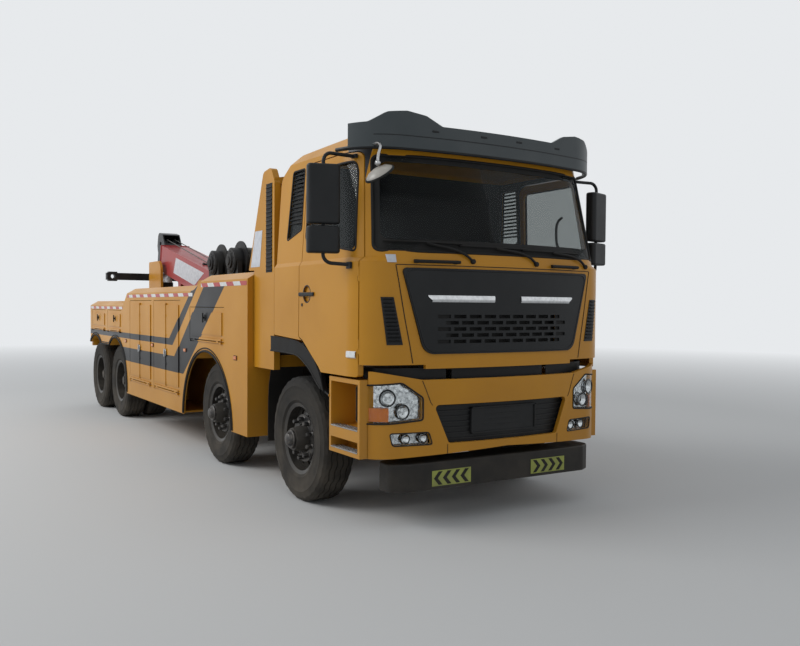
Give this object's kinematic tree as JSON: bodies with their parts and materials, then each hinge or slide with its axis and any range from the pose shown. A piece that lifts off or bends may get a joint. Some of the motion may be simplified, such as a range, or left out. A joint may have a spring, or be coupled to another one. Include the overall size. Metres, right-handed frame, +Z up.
{
  "type": "four-axle heavy tow truck with underlift",
  "caption": "A heavy tow truck with a tilting cab, steered front axles, hollow locker body, telescopic boom, winches and a folding underlift with a crossbar.",
  "frame": {"origin": "on the ground, under the middle of the truck's overall box", "axes": "+X forward, +Y to the truck's left, +Z up"},
  "size_m": [9.8037, 3.093, 3.1744],
  "materials": {
    "body_yellow": "semi-gloss work yellow",
    "chassis_black": "satin black",
    "boom_red": "faded red gloss",
    "trim_plastic": "grained black plastic",
    "visor_plastic": "dark grey smooth plastic",
    "tyre_rubber": "worn rubber",
    "wheel_paint": "satin black",
    "cab_glazing": "clear, lightly tinted",
    "lamp_lens": "clear lens",
    "cylinder_chrome": "polished rod",
    "cast_metal": "as cast, oiled",
    "seat_cloth": "dark woven cloth"
  },
  "bodies": {
    "chassis": {"frame": "chassis_black", "engine": "cast_metal", "axles": "chassis_black", "springs": "chassis_black", "bumper": "body_yellow", "lamps": "lamp_lens", "underrun_bar": "chassis_black", "cab_steps": "trim_plastic", "tanks": "chassis_black", "wrecker_body": "body_yellow", "headboard": "body_yellow", "winches": "chassis_black", "boom_frame": "body_yellow"},
    "cab": {"cab_shell": "body_yellow", "cab_glass": "cab_glazing", "sun_visor": "visor_plastic", "grille": "trim_plastic", "seats": "seat_cloth", "dashboard": "trim_plastic"},
    "door_right": {"door_right": "body_yellow", "door_glass_right": "cab_glazing", "door_mirror_right": "trim_plastic"},
    "door_left": {"door_left": "body_yellow", "door_glass_left": "cab_glazing", "door_mirror_left": "trim_plastic"},
    "knuckle_1_right": {"knuckle_1_right": "cast_metal"},
    "knuckle_1_left": {"knuckle_1_left": "cast_metal"},
    "knuckle_2_right": {"knuckle_2_right": "cast_metal"},
    "knuckle_2_left": {"knuckle_2_left": "cast_metal"},
    "wheel_1_right": {"tyre_1_right": "tyre_rubber", "rim_1_right": "wheel_paint"},
    "wheel_1_left": {"tyre_1_left": "tyre_rubber", "rim_1_left": "wheel_paint"},
    "wheel_2_right": {"tyre_2_right": "tyre_rubber", "rim_2_right": "wheel_paint"},
    "wheel_2_left": {"tyre_2_left": "tyre_rubber", "rim_2_left": "wheel_paint"},
    "wheel_3_right": {"tyre_3_right": "tyre_rubber", "rim_3_right": "wheel_paint"},
    "wheel_3_left": {"tyre_3_left": "tyre_rubber", "rim_3_left": "wheel_paint"},
    "wheel_4_right": {"tyre_4_right": "tyre_rubber", "rim_4_right": "wheel_paint"},
    "wheel_4_left": {"tyre_4_left": "tyre_rubber", "rim_4_left": "wheel_paint"},
    "boom": {"boom": "boom_red"},
    "boom_extension": {"boom_extension": "boom_red"},
    "lift_barrels": {"lift_barrels": "chassis_black"},
    "lift_rods": {"lift_rods": "cylinder_chrome"},
    "underlift_arm": {"underlift_arm": "chassis_black"},
    "underlift_extension": {"underlift_extension": "chassis_black"},
    "crossbar": {"crossbar": "chassis_black"},
    "hatch_right": {"hatch_right": "body_yellow"},
    "tall_door_1_right": {"tall_door_1_right": "body_yellow"},
    "tall_door_2_right": {"tall_door_2_right": "body_yellow"},
    "small_doors_right": {"small_doors_right": "body_yellow"},
    "hatch_left": {"hatch_left": "body_yellow"},
    "tall_door_1_left": {"tall_door_1_left": "body_yellow"},
    "tall_door_2_left": {"tall_door_2_left": "body_yellow"},
    "small_doors_left": {"small_doors_left": "body_yellow"}
  },
  "joints": [
    {"name": "cab_tilt", "type": "hinge", "parent": "chassis", "child": "cab", "pos_m": [4.668, 0, 0.8], "axis": [0, 1, 0], "range_deg": [0, 45]},
    {"name": "door_swing_left", "type": "hinge", "parent": "cab", "child": "door_left", "pos_m": [4.618, 1.215, 1.6], "axis": [0, 0, -1], "range_deg": [0, 70]},
    {"name": "door_swing_right", "type": "hinge", "parent": "cab", "child": "door_right", "pos_m": [4.618, -1.215, 1.6], "axis": [0, 0, 1], "range_deg": [0, 70]},
    {"name": "steer_1_right", "type": "hinge", "parent": "chassis", "child": "knuckle_1_right", "pos_m": [3.518, -0.925, 0.54], "axis": [0, 0, 1], "range_deg": [-38, 38]},
    {"name": "steer_1_left", "type": "hinge", "parent": "chassis", "child": "knuckle_1_left", "pos_m": [3.518, 0.925, 0.54], "axis": [0, 0, 1], "range_deg": [-38, 38]},
    {"name": "steer_2_right", "type": "hinge", "parent": "chassis", "child": "knuckle_2_right", "pos_m": [1.518, -0.925, 0.54], "axis": [0, 0, 1], "range_deg": [-24.7, 24.7]},
    {"name": "steer_2_left", "type": "hinge", "parent": "chassis", "child": "knuckle_2_left", "pos_m": [1.518, 0.925, 0.54], "axis": [0, 0, 1], "range_deg": [-24.7, 24.7]},
    {"name": "roll_1_right", "type": "hinge", "parent": "knuckle_1_right", "child": "wheel_1_right", "pos_m": [3.518, -1.06, 0.54], "axis": [0, 1, 0], "continuous": true},
    {"name": "roll_1_left", "type": "hinge", "parent": "knuckle_1_left", "child": "wheel_1_left", "pos_m": [3.518, 1.06, 0.54], "axis": [0, 1, 0], "continuous": true},
    {"name": "roll_2_right", "type": "hinge", "parent": "knuckle_2_right", "child": "wheel_2_right", "pos_m": [1.518, -1.06, 0.54], "axis": [0, 1, 0], "continuous": true},
    {"name": "roll_2_left", "type": "hinge", "parent": "knuckle_2_left", "child": "wheel_2_left", "pos_m": [1.518, 1.06, 0.54], "axis": [0, 1, 0], "continuous": true},
    {"name": "roll_3_right", "type": "hinge", "parent": "chassis", "child": "wheel_3_right", "pos_m": [-2.832, -1.06, 0.54], "axis": [0, 1, 0], "continuous": true},
    {"name": "roll_3_left", "type": "hinge", "parent": "chassis", "child": "wheel_3_left", "pos_m": [-2.832, 1.06, 0.54], "axis": [0, 1, 0], "continuous": true},
    {"name": "roll_4_right", "type": "hinge", "parent": "chassis", "child": "wheel_4_right", "pos_m": [-4.182, -1.06, 0.54], "axis": [0, 1, 0], "continuous": true},
    {"name": "roll_4_left", "type": "hinge", "parent": "chassis", "child": "wheel_4_left", "pos_m": [-4.182, 1.06, 0.54], "axis": [0, 1, 0], "continuous": true},
    {"name": "boom_lift", "type": "hinge", "parent": "chassis", "child": "boom", "pos_m": [-1.632, 0, 1.96], "axis": [0, 1, 0], "range_deg": [-4, 36]},
    {"name": "boom_extend", "type": "slide", "parent": "boom", "child": "boom_extension", "axis": [-0.9789, 0, 0.2045], "range_m": [0, 1.5]},
    {"name": "lift_cylinder_swing", "type": "hinge", "parent": "chassis", "child": "lift_barrels", "pos_m": [-2.252, 0, 1.255], "axis": [0, 1, 0], "range_deg": [-3.69, 31.57]},
    {"name": "lift_cylinder_stroke", "type": "slide", "parent": "lift_barrels", "child": "lift_rods", "axis": [-0.7705, 0, 0.6374], "range_m": [-0.065, 0.569]},
    {"name": "underlift_fold", "type": "hinge", "parent": "chassis", "child": "underlift_arm", "pos_m": [-4.662, 0, 0.76], "axis": [0, -1, 0], "range_deg": [0, 96]},
    {"name": "underlift_extend", "type": "slide", "parent": "underlift_arm", "child": "underlift_extension", "axis": [0, 0, 1], "range_m": [0, 0.9]},
    {"name": "crossbar_swivel", "type": "hinge", "parent": "underlift_extension", "child": "crossbar", "pos_m": [-4.75, 0, 2.18], "axis": [1, 0, 0], "range_deg": [-25, 25]},
    {"name": "hatch_right_drop", "type": "hinge", "parent": "chassis", "child": "hatch_right", "pos_m": [1.298, -1.2745, 1.297], "axis": [1, 0, 0], "range_deg": [0, 100]},
    {"name": "tall_door_1_right_drop", "type": "hinge", "parent": "chassis", "child": "tall_door_1_right", "pos_m": [-0.187, -1.2745, 0.632], "axis": [1, 0, 0], "range_deg": [0, 88]},
    {"name": "tall_door_2_right_drop", "type": "hinge", "parent": "chassis", "child": "tall_door_2_right", "pos_m": [-1.407, -1.2745, 0.632], "axis": [1, 0, 0], "range_deg": [0, 88]},
    {"name": "small_doors_right_drop", "type": "hinge", "parent": "chassis", "child": "small_doors_right", "pos_m": [-3.457, -1.2745, 1.282], "axis": [1, 0, 0], "range_deg": [0, 100]},
    {"name": "hatch_left_drop", "type": "hinge", "parent": "chassis", "child": "hatch_left", "pos_m": [1.298, 1.2745, 1.297], "axis": [-1, 0, 0], "range_deg": [0, 100]},
    {"name": "tall_door_1_left_drop", "type": "hinge", "parent": "chassis", "child": "tall_door_1_left", "pos_m": [-0.187, 1.2745, 0.632], "axis": [-1, 0, 0], "range_deg": [0, 88]},
    {"name": "tall_door_2_left_drop", "type": "hinge", "parent": "chassis", "child": "tall_door_2_left", "pos_m": [-1.407, 1.2745, 0.632], "axis": [-1, 0, 0], "range_deg": [0, 88]},
    {"name": "small_doors_left_drop", "type": "hinge", "parent": "chassis", "child": "small_doors_left", "pos_m": [-3.457, 1.2745, 1.282], "axis": [-1, 0, 0], "range_deg": [0, 100]}
  ],
  "couplings": [
    {"joint": "steer_1_left", "follows": "steer_1_right", "ratio": 1},
    {"joint": "steer_2_right", "follows": "steer_1_right", "ratio": 0.65},
    {"joint": "steer_2_left", "follows": "steer_1_right", "ratio": 0.65},
    {"joint": "lift_cylinder_swing", "follows": "boom_lift", "ratio": 0.87128},
    {"joint": "lift_cylinder_stroke", "follows": "boom_lift", "m_per_rad": 0.90241}
  ]
}
